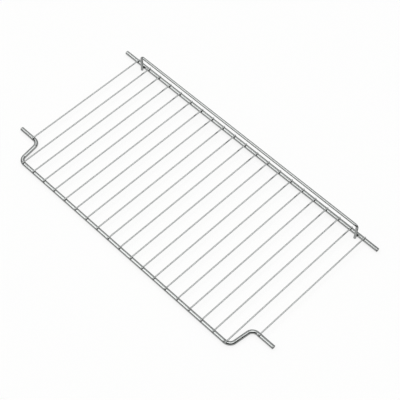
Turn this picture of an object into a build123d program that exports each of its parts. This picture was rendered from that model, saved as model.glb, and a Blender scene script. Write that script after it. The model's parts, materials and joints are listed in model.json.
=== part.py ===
from build123d import *
import os
from math import sqrt

# A refrigerator shelf, welded from round steel wire and then bright plated.
# X runs across the refrigerator, Y from the front to the back, and Z is up.
# The origin is under the middle of the shelf, level with its lowest point. Sizes are in millimetres.

# The thin cross wires, which lie on the thick wires and carry the food
CROSS_WIRE = 2.0  # diameter
CROSS_COUNT = 21
PITCH = 22.0
END_PITCH = 23.3  # from an outermost cross wire to its neighbour
REAR_END_INSET = 1.0  # a cross wire ends this far short of the back of the rear wire
GRID_OFFSET = 1.1  # the cross wires and the rail sit this far right of the thick wires' middle

# The two thick wires, front and rear, whose ends are the four pins that hold the shelf
FRAME_WIRE = 6.0  # diameter
DEPTH = 245.2  # front run to rear wire, centre to centre
PIN_REACH = 25.2  # from an outermost cross wire's nominal place to the pin's end
PIN_CHAMFER = 0.4

# The joggle that steps each end of the front wire back to its pin
PIN_SETBACK = 38.2  # front run to front pin, centre to centre
JOGGLE_INSET = 11.2  # from an outermost cross wire's nominal place in to the corner at the pin
JOGGLE_LEAN = 5.1  # the corner at the front run lies this much nearer to the middle
FRAME_BEND = 10.0  # radius at the wire's centre

# The raised rail along the back, bent down at both ends into legs
RAIL_WIRE = 4.0  # diameter
RAIL_RISE = 24.7  # rear wire to rail, centre to centre
RAIL_BEND = 4.0  # radius at the wire's centre
LEG_INSET = 12.0  # from an outermost cross wire in to the leg
LEG_FOOT = 1.0  # a leg ends this far below the thick wires

# The welds
SET_DOWN = 0.2  # a thinner wire is pressed this far into a flat seat in the thick one
PINCH = 0.2  # the outermost welds leave the thick wire this much flatter, and as much wider
PINCH_LENGTH = 3.0

# Places that follow from the sizes above
GRID_HALF = PITCH * (CROSS_COUNT - 3) / 2 + END_PITCH
PIN_END_X = GRID_HALF + PIN_REACH
JOGGLE_X = GRID_HALF - JOGGLE_INSET
LEG_X = GRID_HALF - LEG_INSET
FRONT_Y = -DEPTH / 2
REAR_Y = DEPTH / 2
PIN_Y = FRONT_Y + PIN_SETBACK
LEG_Y = REAR_Y - (FRAME_WIRE + RAIL_WIRE) / 2 + SET_DOWN
FRAME_Z = LEG_FOOT + FRAME_WIRE / 2
CROSS_Z = FRAME_Z + (FRAME_WIRE + CROSS_WIRE) / 2 - SET_DOWN
RAIL_Z = FRAME_Z + RAIL_RISE


def cross_places():
    """The X of each cross wire, from left to right."""
    inner_half = GRID_HALF - END_PITCH
    inner = [PITCH * k - inner_half for k in range(CROSS_COUNT - 2)]
    return [GRID_OFFSET + x for x in (-GRID_HALF, *inner, GRID_HALF)]


def wire(path, diameter):
    """Round wire along a path, its ends cut square."""
    return sweep(Plane(path @ 0, z_dir=path % 0) * Circle(diameter / 2), path)


def seat(diameter):
    """How wide a flat seat is along the thick wire, so that a thinner wire just fits into it."""
    return 2 * sqrt(SET_DOWN * (diameter - SET_DOWN))


def thick_wire(path):
    """A thick wire with chamfered pins, and with a seat in its top for each cross wire that crosses it."""
    rod = wire(path, FRAME_WIRE)
    rod = chamfer(rod.faces().filter_by(GeomType.PLANE).edges(), PIN_CHAMFER)

    # The outermost welds press the wire oval, and a pin's plain round length starts there
    upright = Plane(path @ 0, x_dir=(0, 0, 1), z_dir=path % 0)
    oval = sweep(upright * Ellipse((FRAME_WIRE - PINCH) / 2, (FRAME_WIRE + PINCH) / 2), path)
    span = DEPTH + 2 * FRAME_WIRE
    band = Box(PINCH_LENGTH, span, 2 * FRAME_WIRE)
    bands = Part() + [Pos(x, 0, FRAME_Z) * band for x in (CROSS_X[0], CROSS_X[-1])]
    rod = rod - bands + (oval & bands)

    cutter = Box(seat(CROSS_WIRE), span, 2 * SET_DOWN)
    return rod - [Pos(x, 0, FRAME_Z + FRAME_WIRE / 2) * cutter for x in CROSS_X]


def front_wire():
    """Left pin, joggle, front run, joggle and right pin, bent from one wire."""
    run_x = JOGGLE_X - JOGGLE_LEAN
    right = [(run_x, FRONT_Y, FRAME_Z), (JOGGLE_X, PIN_Y, FRAME_Z), (PIN_END_X, PIN_Y, FRAME_Z)]
    left = [(-x, y, z) for x, y, z in reversed(right)]
    return thick_wire(FilletPolyline(*left, *right, radius=FRAME_BEND))


def rear_wire():
    """A straight wire from pin to pin, with a seat in its front side for each leg of the rail."""
    rod = thick_wire(Line((-PIN_END_X, REAR_Y, FRAME_Z), (PIN_END_X, REAR_Y, FRAME_Z)))
    cutter = Box(seat(RAIL_WIRE), 2 * SET_DOWN, FRAME_WIRE)
    return rod - [Pos(x, REAR_Y - FRAME_WIRE / 2, FRAME_Z) * cutter for x in LEGS_X]


def back_rail():
    """Up the left leg, along the rail and down the right leg, bent from one wire."""
    left, right = LEGS_X
    corners = [(left, 0), (left, RAIL_Z), (right, RAIL_Z), (right, 0)]
    return wire(FilletPolyline(*[(x, LEG_Y, z) for x, z in corners], radius=RAIL_BEND), RAIL_WIRE)


def cross_wire(x):
    """A straight wire on top of the thick wires, flush with the front of the one it starts on."""
    starts_on_pin = x in (CROSS_X[0], CROSS_X[-1])
    front_end = (PIN_Y if starts_on_pin else FRONT_Y) - FRAME_WIRE / 2
    rear_end = REAR_Y + FRAME_WIRE / 2 - REAR_END_INSET
    return wire(Line((x, front_end, CROSS_Z), (x, rear_end, CROSS_Z)), CROSS_WIRE)


CROSS_X = cross_places()
LEGS_X = (GRID_OFFSET - LEG_X, GRID_OFFSET + LEG_X)

pieces = {"front_wire": front_wire(), "rear_wire": rear_wire(), "back_rail": back_rail()}
for number, x in enumerate(CROSS_X, start=1):
    pieces[f"cross_wire_{number:02d}"] = cross_wire(x)

os.makedirs("parts", exist_ok=True)
for name, piece in pieces.items():
    export_step(piece, f"parts/{name}.step")
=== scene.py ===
"""The looks of a welded wire refrigerator shelf: bright plated wires on a pale floor.

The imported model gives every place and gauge. Each wire of it is drawn again here with round, smooth walls,
eased ends and the marks that spot welding leaves, and gets the plated finish.
"""

import json
import logging
import math
from dataclasses import dataclass, field
from enum import Enum
from typing import ClassVar

import bpy
import numpy as np
from mathutils import Matrix, Vector


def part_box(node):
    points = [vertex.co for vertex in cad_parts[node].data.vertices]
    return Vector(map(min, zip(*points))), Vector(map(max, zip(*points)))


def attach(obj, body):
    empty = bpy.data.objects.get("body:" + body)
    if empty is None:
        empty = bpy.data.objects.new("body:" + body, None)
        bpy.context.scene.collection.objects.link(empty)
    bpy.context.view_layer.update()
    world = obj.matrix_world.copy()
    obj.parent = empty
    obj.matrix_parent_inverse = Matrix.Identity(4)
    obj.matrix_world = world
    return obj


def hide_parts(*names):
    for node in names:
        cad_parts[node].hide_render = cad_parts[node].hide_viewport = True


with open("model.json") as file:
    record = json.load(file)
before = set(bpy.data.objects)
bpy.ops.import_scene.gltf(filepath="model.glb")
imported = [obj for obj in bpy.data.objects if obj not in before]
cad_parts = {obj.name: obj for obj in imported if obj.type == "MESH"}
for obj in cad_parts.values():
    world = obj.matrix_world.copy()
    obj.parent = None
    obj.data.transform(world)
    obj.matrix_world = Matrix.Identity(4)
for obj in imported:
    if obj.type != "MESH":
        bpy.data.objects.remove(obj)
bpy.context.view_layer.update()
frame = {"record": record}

MM = 0.001
GAUGE_STEP = 0.1 * MM  # wire is sold by the tenth of a millimetre
BODY = "root"
UP = Vector((0.0, 0.0, 1.0))
BACK = Vector((0.0, 1.0, 0.0))
RIGHT = Vector((1.0, 0.0, 0.0))
UNBENT = "unbent_mm"  # a vertex's place on the wire before it was bent, in millimetres
MARK_AND_PAINTED_SHADE = "worked"  # how strongly a weld or a cut marks the wire there, which also paints shade into it, 0 to 1
log = logging.getLogger("wire_shelf")


def linear(hex_colour: str) -> tuple[float, float, float, float]:
    """Turns an sRGB colour into the linear values that a socket takes.

    Args:
        hex_colour: The colour as "#RRGGBB".

    Returns:
        Linear red, green and blue, and an alpha of 1.
    """
    shares = [int(hex_colour[i : i + 2], 16) / 255 for i in (1, 3, 5)]
    red, green, blue = [s / 12.92 if s <= 0.04045 else ((s + 0.055) / 1.055) ** 2.4 for s in shares]
    return red, green, blue, 1.0


def add_node(
    tree: bpy.types.NodeTree, kind: str, inputs: dict[str | int, object] | None = None, **settings: object
) -> bpy.types.Node:
    """Adds a node with its settings, its values and its links.

    Args:
        tree: The node tree that gets it.
        kind: The node's type name.
        inputs: A value, or another node's output to link, for each input that is set.
        **settings: Properties of the node itself.

    Returns:
        The new node.
    """
    node = tree.nodes.new(kind)
    for name, value in settings.items():
        setattr(node, name, value)
    for key, value in (inputs or {}).items():
        if isinstance(value, bpy.types.NodeSocket):
            tree.links.new(value, node.inputs[key])
        else:
            node.inputs[key].default_value = value
    return node


def new_material(name: str) -> tuple[bpy.types.Material, bpy.types.NodeTree, bpy.types.Node]:
    """Makes an empty node material.

    Args:
        name: The material's name.

    Returns:
        The material, its node tree, and its output node.
    """
    material = bpy.data.materials.new(name)
    material.use_nodes = True
    tree = material.node_tree
    tree.nodes.clear()
    return material, tree, add_node(tree, "ShaderNodeOutputMaterial")


@dataclass(frozen=True)
class BrightPlatedDrawnWire:
    """Steel wire, drawn, welded, and then plated with bright nickel under a flash of chromium.

    The eye sees a hard mirror that is a little milky. It shows the room as streaks along the wire, it
    wavers slightly as a plated skin does, and it turns duller and greyer where a weld or a cut shows through.
    That greyer colour is partly painted shade, which darkens the crossings and the cut end faces.

    Attributes:
        name: The material's name.
        colour: The colour of the plating.
        mark_and_painted_shade_colour: Its colour over a weld or a cut, partly their real dullness and partly
            painted shade.
        edge_tint: Its shine towards the edges, where chromium brightens less than most metals.
        clear_roughness: Its roughness where it is clearest.
        milky_roughness: Its roughness where it is milkiest.
        streak_roughness: What a die line adds to that or takes from it.
        weld_roughness: What a weld or a cut adds to it.
        weld_cover: The share of a weld's mark that is left in its palest patches.
        die_line_mm: The distance between die lines.
        die_line_run_mm: How long a die line runs.
        skin_wave_mm: The size of the waves in the plated skin.
        haze_mm: The size of the milky patches.
        weld_grain_mm: The size of the pebbles on a weld.
        relief: The height of the skin's waves.
        die_line_share: The height of a die line, as a share of that.
        weld_share: The height of a weld's pebbles, as a share of that.
    """

    name: str = "nickel_chrome_plated_drawn_wire"
    colour: str = "#9B9D9C"
    # Darker than a real weld alone: also painted shade at the crossings and on the cut ends
    mark_and_painted_shade_colour: str = "#5C5D5A"
    edge_tint: str = "#E6E6E6"
    clear_roughness: float = 0.10
    milky_roughness: float = 0.17
    streak_roughness: float = 0.03
    weld_roughness: float = 0.3
    weld_cover: float = 0.45
    # Real die lines are about 0.05 mm apart, too fine to show, so they are drawn five times as coarse
    die_line_mm: float = 0.25
    die_line_run_mm: float = 45.0
    skin_wave_mm: float = 1.6
    haze_mm: float = 20.0
    weld_grain_mm: float = 0.35
    relief: float = 0.004 * MM
    die_line_share: float = 0.4
    weld_share: float = 4.0

    # Where most values of a noise lie, and where those of the haze count
    NOISE_RANGE: ClassVar[dict[str, float]] = {"From Min": 0.3, "From Max": 0.7}
    HAZE_RANGE: ClassVar[dict[str, float]] = {"From Min": 0.35, "From Max": 0.7}

    def material(self) -> bpy.types.Material:
        """Builds the material.

        Returns:
            The material, which suits any wire that carries the two attributes.
        """
        material, tree, output = new_material(self.name)
        unbent = add_node(tree, "ShaderNodeAttribute", attribute_name=UNBENT).outputs["Vector"]
        lines = self.die_lines(tree, unbent)
        marked = self.marks_and_painted_shade(tree, unbent)
        # Welds and cut ends turn to a darker colour, partly their real dullness and partly painted shade at
        # the crossings and on the cut end faces
        tone = add_node(
            tree,
            "ShaderNodeMix",
            {"Factor": marked, "A": linear(self.colour), "B": linear(self.mark_and_painted_shade_colour)},
            data_type="RGBA",
        )
        plate = add_node(
            tree,
            "ShaderNodeBsdfPrincipled",
            {
                "Base Color": tone.outputs["Result"],
                "Metallic": 1.0,
                "Specular Tint": linear(self.edge_tint),
                "Roughness": self.dullness(tree, unbent, lines, marked),
                "Normal": self.skin(tree, unbent, lines, marked),
            },
        )
        tree.links.new(plate.outputs[0], output.inputs["Surface"])
        return material

    def die_lines(self, tree: bpy.types.NodeTree, unbent: bpy.types.NodeSocket) -> bpy.types.NodeSocket:
        """Draws the fine lines that the drawing die leaves along the wire.

        Args:
            tree: The material's node tree.
            unbent: The place on the wire before it was bent.

        Returns:
            The lines as a noise of 0 to 1.
        """
        across = 1 / self.die_line_mm
        drawn = add_node(
            tree, "ShaderNodeMapping", {"Vector": unbent, "Scale": (across, across, 1 / self.die_line_run_mm)}
        )
        lines = add_node(
            tree, "ShaderNodeTexNoise", {"Vector": drawn.outputs[0], "Scale": 1.0, "Detail": 3.0}
        )
        return lines.outputs["Fac"]

    def marks_and_painted_shade(self, tree: bpy.types.NodeTree, unbent: bpy.types.NodeSocket) -> bpy.types.NodeSocket:
        """Breaks the marks of welds and cuts, which carry painted shade as well, up into patches.

        Args:
            tree: The material's node tree.
            unbent: The place on the wire before it was bent.

        Returns:
            How strongly the wire is marked and painted with shade, 0 to 1.
        """
        worked = add_node(tree, "ShaderNodeAttribute", attribute_name=MARK_AND_PAINTED_SHADE).outputs["Fac"]
        grain = add_node(
            tree, "ShaderNodeTexNoise", {"Vector": unbent, "Scale": 1 / self.weld_grain_mm, "Detail": 2.0}
        )
        patchy = add_node(
            tree,
            "ShaderNodeMapRange",
            {"Value": grain.outputs["Fac"], **self.NOISE_RANGE, "To Min": self.weld_cover, "To Max": 1.0},
        )
        marked = add_node(
            tree, "ShaderNodeMath", {0: worked, 1: patchy.outputs[0]}, operation="MULTIPLY", use_clamp=True
        )
        return marked.outputs[0]

    def dullness(
        self,
        tree: bpy.types.NodeTree,
        unbent: bpy.types.NodeSocket,
        lines: bpy.types.NodeSocket,
        marked: bpy.types.NodeSocket,
    ) -> bpy.types.NodeSocket:
        """Makes the plating a little streaked and hazy, and clearly duller where it was welded or cut.

        Args:
            tree: The material's node tree.
            unbent: The place on the wire before it was bent.
            lines: The die lines.
            marked: The marks of welds and cuts, the same mask that paints shade into the colour.

        Returns:
            The roughness.
        """
        haze = add_node(
            tree, "ShaderNodeTexNoise", {"Vector": unbent, "Scale": 1 / self.haze_mm, "Detail": 4.0}
        )
        hazed = add_node(
            tree,
            "ShaderNodeMapRange",
            {
                "Value": haze.outputs["Fac"],
                **self.HAZE_RANGE,
                "To Min": self.clear_roughness,
                "To Max": self.milky_roughness,
            },
        )
        streaked = add_node(
            tree,
            "ShaderNodeMapRange",
            {
                "Value": lines,
                **self.NOISE_RANGE,
                "To Min": -self.streak_roughness,
                "To Max": self.streak_roughness,
            },
        )
        even = add_node(
            tree, "ShaderNodeMath", {0: streaked.outputs[0], 1: hazed.outputs[0]}, operation="ADD"
        )
        rough = add_node(
            tree,
            "ShaderNodeMath",
            {0: marked, 1: self.weld_roughness, 2: even.outputs[0]},
            operation="MULTIPLY_ADD",
        )
        return rough.outputs[0]

    def skin(
        self,
        tree: bpy.types.NodeTree,
        unbent: bpy.types.NodeSocket,
        lines: bpy.types.NodeSocket,
        marked: bpy.types.NodeSocket,
    ) -> bpy.types.NodeSocket:
        """Lays die lines on a wavering skin, and pebbles on a weld.

        Args:
            tree: The material's node tree.
            unbent: The place on the wire before it was bent.
            lines: The die lines.
            marked: The marks of welds and cuts, the same mask that paints shade into the colour.

        Returns:
            The normal of the uneven surface.
        """
        wave = add_node(
            tree, "ShaderNodeTexNoise", {"Vector": unbent, "Scale": 1 / self.skin_wave_mm, "Detail": 1.0}
        )
        drawn_skin = add_node(
            tree,
            "ShaderNodeMath",
            {0: lines, 1: self.die_line_share, 2: wave.outputs["Fac"]},
            operation="MULTIPLY_ADD",
        )
        height = add_node(
            tree,
            "ShaderNodeMath",
            {0: marked, 1: self.weld_share, 2: drawn_skin.outputs[0]},
            operation="MULTIPLY_ADD",
        )
        bump = add_node(
            tree, "ShaderNodeBump", {"Height": height.outputs[0], "Distance": self.relief, "Strength": 1.0}
        )
        return bump.outputs["Normal"]


@dataclass(frozen=True)
class MattPaper:
    """A sheet of matt white background paper, which gives an even pale ground with a faint fibre.

    Attributes:
        name: The material's name.
        colour: The colour of the paper.
        fibre_colour: The colour of its fibres.
        fibre_mm: The size of its fibres.
        roughness: How dull it is.
        shine: How much it shines for all that.
        glow_colour: The colour that it glows in.
        glow_share: The share of its look that is glow, the rest being light and shadow.
    """

    name: str = "matt_white_paper"
    colour: str = "#F6F6F5"
    fibre_colour: str = "#F1F1EF"
    # Paper fibre is well under a millimetre, and is drawn coarser to show at all
    fibre_mm: float = 3.0
    roughness: float = 0.9
    shine: float = 0.2
    glow_colour: str = "#FFFFFF"
    glow_share: float = 0.84

    def material(self) -> bpy.types.Material:
        """Builds the material.

        Returns:
            The material for the floor.
        """
        material, tree, output = new_material(self.name)
        place = add_node(tree, "ShaderNodeTexCoord").outputs["Object"]
        fibre = add_node(tree, "ShaderNodeTexNoise", {"Vector": place, "Scale": 1 / (self.fibre_mm * MM)})
        tone = add_node(
            tree,
            "ShaderNodeMix",
            {"Factor": fibre.outputs["Fac"], "A": linear(self.colour), "B": linear(self.fibre_colour)},
            data_type="RGBA",
        )
        paper = add_node(
            tree,
            "ShaderNodeBsdfPrincipled",
            {
                "Base Color": tone.outputs["Result"],
                "Roughness": self.roughness,
                "Specular IOR Level": self.shine,
            },
        )
        # Seen directly or in the plated wire, the paper glows partly by itself, as on a lit table
        path = add_node(tree, "ShaderNodeLightPath").outputs
        seen = add_node(
            tree, "ShaderNodeMath", {0: path["Is Camera Ray"], 1: path["Is Glossy Ray"]}, operation="MAXIMUM"
        )
        shown = add_node(
            tree, "ShaderNodeMath", {0: seen.outputs[0], 1: path["Is Transmission Ray"]}, operation="MAXIMUM"
        )
        share = add_node(
            tree, "ShaderNodeMath", {0: shown.outputs[0], 1: self.glow_share}, operation="MULTIPLY"
        )
        glow = add_node(tree, "ShaderNodeEmission", {"Color": linear(self.glow_colour), "Strength": 1.0})
        lit = add_node(
            tree, "ShaderNodeMixShader", {0: share.outputs[0], 1: paper.outputs[0], 2: glow.outputs[0]}
        )
        tree.links.new(lit.outputs[0], output.inputs["Surface"])
        return material


@dataclass(frozen=True)
class Stretch:
    """A straight run or a round bend of a wire's centre line.

    Attributes:
        start: Where it begins.
        heading: Its direction there.
        length: How long it is.
        turn: One over the bend's radius, above 0 for a turn to the left of the heading, and 0 for a run.
    """

    start: Vector
    heading: Vector
    length: float
    turn: float = 0.0

    def place(self, along: float, upright: Vector) -> tuple[Vector, Vector]:
        """Finds a point of the stretch.

        Args:
            along: The distance from its start.
            upright: The normal of the plane that the wire is bent in.

        Returns:
            The point, and the direction of the wire there.
        """
        if not self.turn:
            return self.start + self.heading * along, self.heading
        left = upright.cross(self.heading)
        angle = self.turn * along
        sideways = self.heading * math.sin(angle) + left * (1 - math.cos(angle))
        return self.start + sideways / self.turn, self.heading * math.cos(angle) + left * math.sin(angle)


@dataclass
class CentreLine:
    """The centre line of a wire that is bent in one plane.

    Attributes:
        corners: The points between which it runs straight, ends included.
        upright: The normal of its plane.
        bend: The radius of its bends.
        stretches: Its runs and bends in order, worked out from the rest.
    """

    corners: list[Vector]
    upright: Vector
    bend: float = 0.0
    stretches: list[Stretch] = field(init=False)

    def __post_init__(self) -> None:
        """Works out the runs and the bends between them."""
        self.stretches = []
        start = self.corners[0]
        for corner, beyond in zip(self.corners[1:-1], self.corners[2:]):
            heading = (corner - start).normalized()
            leaving = (beyond - corner).normalized()
            angle = heading.angle(leaving)
            cut = self.bend * math.tan(angle / 2)
            side = math.copysign(1.0, self.upright.dot(heading.cross(leaving)))
            bend_start = corner - heading * cut
            self.stretches.append(Stretch(start, heading, (corner - start).length - cut))
            self.stretches.append(Stretch(bend_start, heading, self.bend * angle, side / self.bend))
            start = corner + leaving * cut
        last = self.corners[-1] - start
        self.stretches.append(Stretch(start, last.normalized(), last.length))

    @property
    def length(self) -> float:
        """The length of the wire."""
        return sum(stretch.length for stretch in self.stretches)

    def place(self, along: float) -> tuple[Vector, Vector]:
        """Finds a point of the line.

        Args:
            along: The distance from the wire's first end.

        Returns:
            The point, and the direction of the wire there.
        """
        for stretch in self.stretches[:-1]:
            if along <= stretch.length:
                return stretch.place(along, self.upright)
            along -= stretch.length
        return self.stretches[-1].place(along, self.upright)

    def nearest(self, point: Vector) -> float:
        """Finds where the straight runs come nearest to a point.

        Args:
            point: The point, such as the middle of a weld.

        Returns:
            The distance along the wire from its first end.
        """
        passed, best = 0.0, (math.inf, 0.0)
        for stretch in self.stretches:
            if not stretch.turn:
                along = min(max((point - stretch.start).dot(stretch.heading), 0.0), stretch.length)
                away = (stretch.start + stretch.heading * along - point).length
                best = min(best, (away, passed + along))
            passed += stretch.length
        return best[1]


class Side(Enum):
    """The side of a wire, as an angle in its section, on which another wire is welded to it."""

    UPRIGHT = math.pi / 2
    UNDER = -math.pi / 2


@dataclass(frozen=True)
class Weld:
    """A spot weld on a wire, made by pressing two wires together between electrodes.

    Attributes:
        along: Its distance from the wire's first end.
        side: The side that the other wire is on.
        flash: How far the melted metal stands out beside this wire.
        flat: How deep the electrode has flattened the far side.
        reach: How far along the wire the marks go.
        squeeze: How much wider, and as much flatter, the whole section is there.
    """

    along: float
    side: Side
    flash: float
    flat: float
    reach: float
    squeeze: float = 0.0


@dataclass
class DrawnWire:
    """A round wire along a centre line, with eased ends and the marks of its welds.

    Attributes:
        name: The name of its piece in the scene.
        line: Its centre line.
        diameter: Its gauge.
        welds: The welds on it.
        end_round: The radius that eases the edge of its ends.
        facets: How many sides stand for its round section.
    """

    name: str
    line: CentreLine
    diameter: float
    welds: list[Weld]
    end_round: float
    facets: int

    # Where the wire gets rings of vertices
    RUN_STEP: ClassVar[float] = 6.0 * MM  # the most between two rings of a straight run
    BEND_STEP: ClassVar[float] = math.radians(3.0)  # the most that a bend turns between two rings
    WELD_STEP: ClassVar[float] = 0.3 * MM  # a weld gets a ring for each such length of its reach
    WELD_SPREAD: ClassVar[float] = 1.5  # and they are spread over this many times its reach
    END_RINGS: ClassVar[int] = 6  # in the eased edge of an end
    BRACE: ClassVar[float] = 0.3 * MM  # from an edge or a bend's end to the ring that keeps it crisp
    CLOSEST: ClassVar[float] = 0.01 * MM  # rings nearer to each other than this are one

    # How a cut and a weld mark it, and paint shade into its colour
    CUT_MARK_AND_SHADE: ClassVar[float] = 0.2 * MM  # how far from a cut end the wire is marked, its end face painted dark as painted shade
    FLASH_FULL: ClassVar[float] = 0.8  # melted metal stands out in full at this share of the radius
    FLASH_ROOT: ClassVar[float] = 0.3  # and tapers off within this share of it from the wire's middle
    STAIN: ClassVar[float] = 0.35  # how strongly a weld marks the wire's flanks, partly as painted shade
    SHADE_SLOPE_TOWARD_WELD: ClassVar[float] = 0.8  # and how much more it does on the side of the weld, as painted shade between the two wires

    def stations(self) -> np.ndarray:
        """Chooses where the wire gets a ring of vertices: close together at bends, welds and ends.

        Returns:
            Distances from the wire's first end, in order.
        """
        length = self.line.length
        marks: list[float] = [0.0, length]
        passed = 0.0
        for stretch in self.line.stretches:
            turned = stretch.length * abs(stretch.turn)
            count = math.ceil(turned / self.BEND_STEP if stretch.turn else stretch.length / self.RUN_STEP)
            marks += list(passed + np.linspace(0.0, stretch.length, count + 1))
            marks += [passed - self.BRACE, passed + self.BRACE]
            passed += stretch.length
        for weld in self.welds:
            count = math.ceil(2 * weld.reach / self.WELD_STEP)
            marks += list(weld.along + np.linspace(-weld.reach, weld.reach, count + 1) * self.WELD_SPREAD)
        for ring in range(1, self.END_RINGS + 1):
            inward = self.end_round * (1 - math.cos(math.pi / 2 * ring / self.END_RINGS))
            marks += [inward, length - inward]
        braced = self.end_round + self.BRACE
        marks += [braced, length - braced]
        ordered = np.unique(np.clip(marks, 0.0, length))
        apart = np.diff(ordered, prepend=-1.0) > self.CLOSEST
        return ordered[apart]

    def sections(self, stations: np.ndarray) -> tuple[np.ndarray, np.ndarray, np.ndarray]:
        """Shapes the wire's section at each station.

        Args:
            stations: Distances along the wire.

        Returns:
            The two offsets of each vertex from the centre line, and how much the wire is marked there,
            painted shade included.
        """
        radius = self.diameter / 2
        from_end = np.minimum(stations, self.line.length - stations)
        short = np.clip(self.end_round - from_end, 0.0, self.end_round)
        size = radius - self.end_round + np.sqrt(self.end_round**2 - short**2)
        angle = np.arange(self.facets) * (2 * math.pi / self.facets)
        flat_offset = np.outer(size, np.cos(angle))
        upright_offset = np.outer(size, np.sin(angle))
        # Cut ends are marked in full, which paints their end faces dark, partly as a dull cut and partly as
        # painted shade
        marked = np.exp(-((from_end / self.CUT_MARK_AND_SHADE) ** 2))[:, None] * np.ones(self.facets)
        for weld in self.welds:
            # The flat and the squeeze end abruptly, the melted metal and the stain with its painted shade
            # fade out
            near = np.exp(-(((stations - weld.along) / weld.reach) ** 4))[:, None]
            soft = np.exp(-2.0 * ((stations - weld.along) / weld.reach) ** 2)[:, None]
            beside = flat_offset * (1 + near * weld.squeeze / self.diameter)
            toward = upright_offset * math.sin(weld.side.value)
            toward = toward * (1 - near * weld.squeeze / self.diameter)
            toward = np.maximum(toward, near * weld.flat - radius)
            low = np.clip(toward / radius / self.FLASH_FULL, 0.0, 1.0)
            melted = low * low * (3 - 2 * low) * soft
            rooted = np.minimum(np.abs(beside) / (self.FLASH_ROOT * radius), 1)
            flat_offset = beside + np.sign(beside) * weld.flash * melted * rooted
            upright_offset = toward * math.sin(weld.side.value)
            # The stain darkens towards the other wire, as painted shade in the crevice between the two wires
            stained_and_shaded = np.clip(self.STAIN + self.SHADE_SLOPE_TOWARD_WELD * toward / radius, 0.0, 1.0)
            marked = np.maximum(marked, soft * stained_and_shaded)
        return flat_offset, upright_offset, marked

    def piece(self) -> bpy.types.Object:
        """Builds the wire's mesh.

        Returns:
            The wire as a new object of the scene.
        """
        stations = self.stations()
        flat_offset, upright_offset, marked = self.sections(stations)
        upright = np.array(self.line.upright)
        places = [self.line.place(s) for s in stations]
        middle = np.array([point for point, _ in places])
        across = np.array([self.line.upright.cross(heading) for _, heading in places])
        sideways = flat_offset[:, :, None] * across[:, None, :]
        points = middle[:, None, :] + sideways + upright_offset[:, :, None] * upright

        rings, sides = flat_offset.shape
        index = np.arange(rings * sides).reshape(rings, sides)
        turned = np.roll(index, -1, axis=1)
        walls = np.stack([index[:-1], turned[:-1], turned[1:], index[1:]], axis=-1).reshape(-1, 4)
        faces = walls.tolist() + [index[0][::-1].tolist(), index[-1].tolist()]
        mesh = bpy.data.meshes.new(self.name)
        mesh.from_pydata(points.reshape(-1, 3).tolist(), [], faces)
        mesh.polygons.foreach_set("use_smooth", [True] * len(faces))

        along = np.broadcast_to(stations[:, None], flat_offset.shape)
        unbent = np.stack([flat_offset, upright_offset, along], axis=-1) / MM
        mesh.attributes.new(UNBENT, "FLOAT_VECTOR", "POINT").data.foreach_set("vector", unbent.ravel())
        mesh.attributes.new(MARK_AND_PAINTED_SHADE, "FLOAT", "POINT").data.foreach_set("value", marked.ravel())
        piece = bpy.data.objects.new(self.name, mesh)
        bpy.context.scene.collection.objects.link(piece)
        return piece


def settle(piece: bpy.types.Object, node: str, finish: bpy.types.Material) -> None:
    """Gives a piece its finish and its place in the frame.

    Args:
        piece: The piece.
        node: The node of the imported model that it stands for.
        finish: The material that it gets.
    """
    piece.data.materials.append(finish)
    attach(piece, BODY)
    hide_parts(node)
    log.info("%s: %d faces", piece.name, len(piece.data.polygons))


def gauge(extent: float) -> float:
    """Rounds a size read from the frame to the nearest gauge of wire."""
    return round(extent / GAUGE_STEP) * GAUGE_STEP


@dataclass
class CrossWires:
    """The thin wires that lie across the two thick ones and carry the food.

    Attributes:
        count: How many there are.
        flash: How far a weld's melted metal stands out beside a wire.
        flat: How deep the electrode has flattened a wire's top.
        reach: How far along a wire a weld's marks go.
        end_round: The radius that eases the sheared ends.
        facets: How many sides stand for the round section.
    """

    count: int = 21
    flash: float = 0.15 * MM
    flat: float = 0.12 * MM
    reach: float = 1.5 * MM
    end_round: float = 0.25 * MM
    facets: int = 36

    def nodes(self) -> list[str]:
        """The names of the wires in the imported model, from left to right."""
        return [f"cross_wire_{number:02d}" for number in range(1, self.count + 1)]

    def places(self) -> list[float]:
        """The X of each wire, from left to right."""
        boxes = [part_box(node) for node in self.nodes()]
        return [(low.x + high.x) / 2 for low, high in boxes]

    def build(self, pin_y: float, front_y: float, rear_y: float, finish: bpy.types.Material) -> None:
        """Builds and dresses the wires.

        Args:
            pin_y: The Y of the two front pins.
            front_y: The Y of the front run.
            rear_y: The Y of the rear wire.
            finish: The material that they get.
        """
        for node in self.nodes():
            low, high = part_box(node)
            middle = (low + high) / 2
            ends = [Vector((middle.x, y, middle.z)) for y in (low.y, high.y)]
            line = CentreLine(ends, UP)
            start_y = min((front_y, pin_y), key=lambda y: abs(y - low.y))
            welds = [
                Weld(y - low.y, Side.UNDER, self.flash, self.flat, self.reach) for y in (start_y, rear_y)
            ]
            wire = DrawnWire(
                f"plated_{node}", line, gauge(high.x - low.x), welds, self.end_round, self.facets
            )
            settle(wire.piece(), node, finish)


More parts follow.
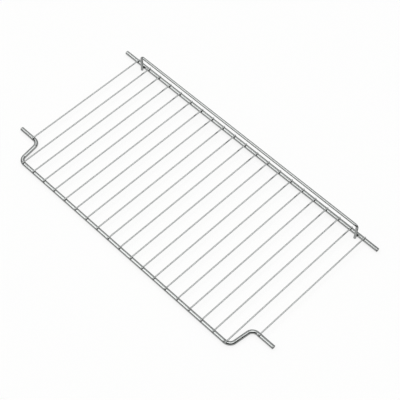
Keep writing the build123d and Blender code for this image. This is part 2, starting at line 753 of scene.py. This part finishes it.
@dataclass
class ThickWires:
    """The front and rear wires, whose ends are the four pins that hold the shelf.

    Attributes:
        pin_length: From a pin's end to the corner of the joggle beside it.
        joggle_lean: How much nearer to the middle the joggle's other corner is.
        bend: The radius of the bends at the wire's centre.
        flat: How deep the electrode has flattened the underside at a weld.
        squeeze: How much wider the outermost welds have left the wire.
        reach: How far along the wire a weld's marks go.
        pin_round: The radius that eases the ends of the pins.
        facets: How many sides stand for the round section.
        diameter: The gauge of both wires, read from the frame like the places below.
        level: The height of their centre.
        pin_end: The X of the right pins' ends.
        front_y: The Y of the front run.
        pin_y: The Y of the two front pins.
        rear_y: The Y of the rear wire.
    """

    pin_length: float = 36.4 * MM
    joggle_lean: float = 5.1 * MM
    bend: float = 10.0 * MM
    flat: float = 0.1 * MM
    squeeze: float = 0.2 * MM
    reach: float = 1.6 * MM
    pin_round: float = 0.4 * MM
    facets: int = 56
    diameter: float = field(init=False)
    level: float = field(init=False)
    pin_end: float = field(init=False)
    front_y: float = field(init=False)
    pin_y: float = field(init=False)
    rear_y: float = field(init=False)

    def __post_init__(self) -> None:
        """Reads from the frame where the wires run."""
        low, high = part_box("front_wire")
        mounts = {mount["name"]: mount["pos_m"] for mount in frame["record"]["mounts"]}
        self.diameter = gauge(high.z - low.z)
        self.level = low.z + self.diameter / 2
        self.pin_end = high.x
        self.front_y = low.y + self.diameter / 2
        self.pin_y = mounts["front_left_pin"][1]
        self.rear_y = mounts["rear_left_pin"][1]

    def front_line(self) -> CentreLine:
        """Draws the front wire's centre line.

        Returns:
            The line from the left pin through both joggles to the right pin.
        """
        corner = self.pin_end - self.pin_length
        right = [(corner - self.joggle_lean, self.front_y), (corner, self.pin_y), (self.pin_end, self.pin_y)]
        whole = [(-x, y) for x, y in reversed(right)] + right
        return CentreLine([Vector((x, y, self.level)) for x, y in whole], UP, self.bend)

    def rear_line(self) -> CentreLine:
        """Draws the rear wire's centre line, straight from pin to pin."""
        ends = [Vector((x, self.rear_y, self.level)) for x in (-self.pin_end, self.pin_end)]
        return CentreLine(ends, UP)

    def marks(self, line: CentreLine, front: bool, places: list[float]) -> list[Weld]:
        """Lists the welds of the cross wires on a thick wire.

        Args:
            line: The thick wire's centre line.
            front: Whether it is the front wire, on which the outermost cross wires sit on the pins.
            places: The X of each cross wire, from left to right.

        Returns:
            The welds, the outermost of which have squeezed the wire oval.
        """
        welds = []
        for x in places:
            outermost = x in (places[0], places[-1])
            front_y = self.pin_y if outermost else self.front_y
            y = front_y if front else self.rear_y
            along = line.nearest(Vector((x, y, self.level)))
            squeeze = self.squeeze if outermost else 0.0
            welds.append(Weld(along, Side.UPRIGHT, 0.0, self.flat, self.reach, squeeze))
        return welds

    def build(self, places: list[float], finish: bpy.types.Material) -> None:
        """Builds and dresses both wires.

        Args:
            places: The X of each cross wire, from left to right.
            finish: The material that they get.
        """
        for node, line in (("front_wire", self.front_line()), ("rear_wire", self.rear_line())):
            welds = self.marks(line, node == "front_wire", places)
            wire = DrawnWire(f"plated_{node}", line, self.diameter, welds, self.pin_round, self.facets)
            settle(wire.piece(), node, finish)


@dataclass
class BackRail:
    """The raised rail along the back, one wire that is bent down at both ends into legs.

    Attributes:
        bend: The radius of its corners at the wire's centre.
        flash: How far a weld's melted metal stands out beside a leg.
        flat: How deep the electrode has flattened a leg's front.
        reach: How far along a leg a weld's marks go.
        end_round: The radius that eases the sheared ends.
        facets: How many sides stand for the round section.
        finish: Its plating, whose colour is painted a shade darker than that of the other wires, as painted
            shade for the darker things it mirrors.
    """

    bend: float = 4.0 * MM
    flash: float = 0.5 * MM
    flat: float = 0.12 * MM
    reach: float = 2.0 * MM
    end_round: float = 0.4 * MM
    facets: int = 44
    # The same plating with a darker colour, as painted shade so that the rail mirrors its surroundings darker
    finish: BrightPlatedDrawnWire = BrightPlatedDrawnWire("plated_rail_wire_with_painted_shade", "#949695")

    def build(self, level: float) -> None:
        """Builds and dresses the rail.

        Args:
            level: The height of the rear wire's centre, where the legs are welded to it.
        """
        low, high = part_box("back_rail")
        diameter = gauge(high.y - low.y)
        radius = diameter / 2
        y = (low.y + high.y) / 2
        left, right, top = low.x + radius, high.x - radius, high.z - radius
        corners = [(left, low.z), (left, top), (right, top), (right, low.z)]
        line = CentreLine([Vector((x, y, z)) for x, z in corners], BACK, self.bend)
        welds = [
            Weld(line.nearest(Vector((x, y, level))), Side.UPRIGHT, self.flash, self.flat, self.reach)
            for x in (left, right)
        ]
        rail = DrawnWire("plated_back_rail", line, diameter, welds, self.end_round, self.facets)
        settle(rail.piece(), "back_rail", self.finish.material())


@dataclass(frozen=True)
class Softbox:
    """An oblong lamp that shines evenly on the shelf.

    Attributes:
        name: Its name.
        stands: The direction in which it stands, seen from the shelf.
        across: The direction in which its width is measured, near enough.
        width: Its size in that direction.
        length: Its size at right angles to that.
        brightness: How bright its face is, where 1 is as bright as a white floor.
        away: How far from the shelf it is.
    """

    name: str
    stands: Vector
    across: Vector
    width: float
    length: float
    brightness: float
    away: float = 5.0

    WATTS_PER_AREA: ClassVar[float] = 4.0  # for each square metre of the face, at a brightness of 1

    def light(self) -> None:
        """Puts the lamp in the scene."""
        lamp = bpy.data.lights.new(self.name, "AREA")
        lamp.shape = "RECTANGLE"
        lamp.size = self.width
        lamp.size_y = self.length
        lamp.energy = self.brightness * self.WATTS_PER_AREA * self.width * self.length
        holder = bpy.data.objects.new(self.name, lamp)
        outward = self.stands.normalized()
        across = (self.across - outward * self.across.dot(outward)).normalized()
        facing = Matrix((across, outward.cross(across), outward)).transposed()
        holder.matrix_world = Matrix.Translation(outward * self.away) @ facing.to_4x4()
        bpy.context.scene.collection.objects.link(holder)


@dataclass
class Studio:
    """The floor, the room and the lamps.

    Attributes:
        floor_size: The length of the floor's sides.
        floor_finish: What the floor is made of.
        room_colour: The colour of the walls and ceiling, which fill in the shadows.
        pale_end: The direction in which the room is palest.
        pale_brightness: How bright it is there.
        dark_brightness: How bright it is at the opposite end.
        fall_off: How soon it turns dark away from the pale end, where 1 is evenly.
        lamps: The softboxes.
    """

    floor_size: float = 8.0
    floor_finish: MattPaper = MattPaper()
    room_colour: str = "#F4F6F5"
    pale_end: Vector = field(default_factory=lambda: Vector((-1.0, 1.0, 0.0)))
    pale_brightness: float = 0.75
    dark_brightness: float = 0.05
    fall_off: float = 2.0
    # The thick wires mirror the front left lamp, the cross wires the back right one, and the tops of all
    # wires the back left one. The overhead lamp lights the bends
    lamps: tuple[Softbox, ...] = (
        Softbox("softbox_front_left", Vector((-0.395, -0.448, 0.807)), RIGHT, 2.0, 6.0, 2.05),
        Softbox("softbox_back_right", Vector((0.40, 0.40, 0.825)), BACK, 1.45, 5.8, 1.8),
        Softbox("softbox_overhead", Vector((0.15, -0.05, 1.0)), RIGHT, 3.0, 2.5, 2.4),
        Softbox("softbox_left", Vector((-0.66, 0.08, 0.75)), BACK, 2.0, 1.4, 1.0),
        Softbox("softbox_back", Vector((0.05, 0.64, 0.77)), RIGHT, 2.0, 1.4, 1.0),
        Softbox("softbox_back_left", Vector((-0.42, 0.42, 0.80)), RIGHT + BACK, 2.6, 0.9, 1.2),
    )

    def build(self) -> None:
        """Lays the floor and sets up the light."""
        self.lay_floor()
        self.light_room()
        for lamp in self.lamps:
            lamp.light()

    def lay_floor(self) -> None:
        """Lays the paper that the shelf lies on."""
        half = self.floor_size / 2
        corners = [(-half, -half, 0), (half, -half, 0), (half, half, 0), (-half, half, 0)]
        mesh = bpy.data.meshes.new("floor")
        mesh.from_pydata(corners, [], [(0, 1, 2, 3)])
        mesh.materials.append(self.floor_finish.material())
        floor = bpy.data.objects.new("floor", mesh)
        bpy.context.scene.collection.objects.link(floor)

    def light_room(self) -> None:
        """Makes a room that fades from its pale end to its dark one."""
        world = bpy.data.worlds.new("room")
        world.use_nodes = True
        tree = world.node_tree
        direction = add_node(tree, "ShaderNodeTexCoord").outputs["Generated"]
        toward = add_node(
            tree,
            "ShaderNodeVectorMath",
            {0: direction, 1: self.pale_end.normalized()},
            operation="DOT_PRODUCT",
        )
        # From -1 to 1 at the two ends, brought to 0 to 1
        share = add_node(
            tree, "ShaderNodeMath", {0: toward.outputs["Value"], 1: 0.5, 2: 0.5}, operation="MULTIPLY_ADD"
        )
        fading = add_node(tree, "ShaderNodeMath", {0: share.outputs[0], 1: self.fall_off}, operation="POWER")
        brightness = add_node(
            tree,
            "ShaderNodeMapRange",
            {"Value": fading.outputs[0], "To Min": self.dark_brightness, "To Max": self.pale_brightness},
        )
        room = tree.nodes["Background"]
        room.inputs["Color"].default_value = linear(self.room_colour)
        tree.links.new(brightness.outputs[0], room.inputs["Strength"])
        bpy.context.scene.world = world


@dataclass
class PhotoCamera:
    """The camera, at the photograph's viewing angle.

    Attributes:
        target: The point in the middle of the picture.
        distance: From the camera to that point.
        azimuth: The turn about Z, where 0 looks along +Y.
        elevation: How far above the floor it looks down from.
        roll: How far it is tipped about its own axis.
        focal_length: The lens, in millimetres, for the sensor's width.
        sensor: The sensor's width in millimetres.
        sight: How far it sees.
    """

    target: Vector = field(default_factory=lambda: Vector((21.6, 9.0, 6.0)) * MM)
    distance: float = 1.598
    azimuth: float = math.radians(43.253)
    elevation: float = math.radians(55.860)
    roll: float = math.radians(1.789)
    focal_length: float = 104.15
    sensor: float = 36.0
    sight: float = 50.0

    def place(self) -> None:
        """Puts the camera in the scene and makes it the one that is used."""
        level = math.cos(self.elevation)
        ahead = Vector(
            (-math.sin(self.azimuth) * level, math.cos(self.azimuth) * level, -math.sin(self.elevation))
        )
        right = ahead.cross(UP).normalized()
        up = right.cross(ahead)
        tipped = Matrix((
            right * math.cos(self.roll) + up * math.sin(self.roll),
            up * math.cos(self.roll) - right * math.sin(self.roll),
            -ahead,
        )).transposed()
        lens = bpy.data.cameras.new("camera")
        lens.lens = self.focal_length
        lens.sensor_width = self.sensor
        lens.clip_end = self.sight
        camera = bpy.data.objects.new("camera", lens)
        camera.matrix_world = Matrix.Translation(self.target - ahead * self.distance) @ tipped.to_4x4()
        bpy.context.scene.collection.objects.link(camera)
        bpy.context.scene.camera = camera


def main() -> None:
    """Builds the shelf, then the room around it."""
    logging.basicConfig(level=logging.INFO, format="%(name)s %(message)s")
    bpy.context.scene.view_settings.view_transform = "Standard"
    plated = BrightPlatedDrawnWire().material()
    cross_wires = CrossWires()
    thick_wires = ThickWires()
    thick_wires.build(cross_wires.places(), plated)
    BackRail().build(thick_wires.level)
    cross_wires.build(thick_wires.pin_y, thick_wires.front_y, thick_wires.rear_y, plated)
    Studio().build()
    PhotoCamera().place()
    bpy.context.view_layer.update()


if __name__ == "__main__":
    main()
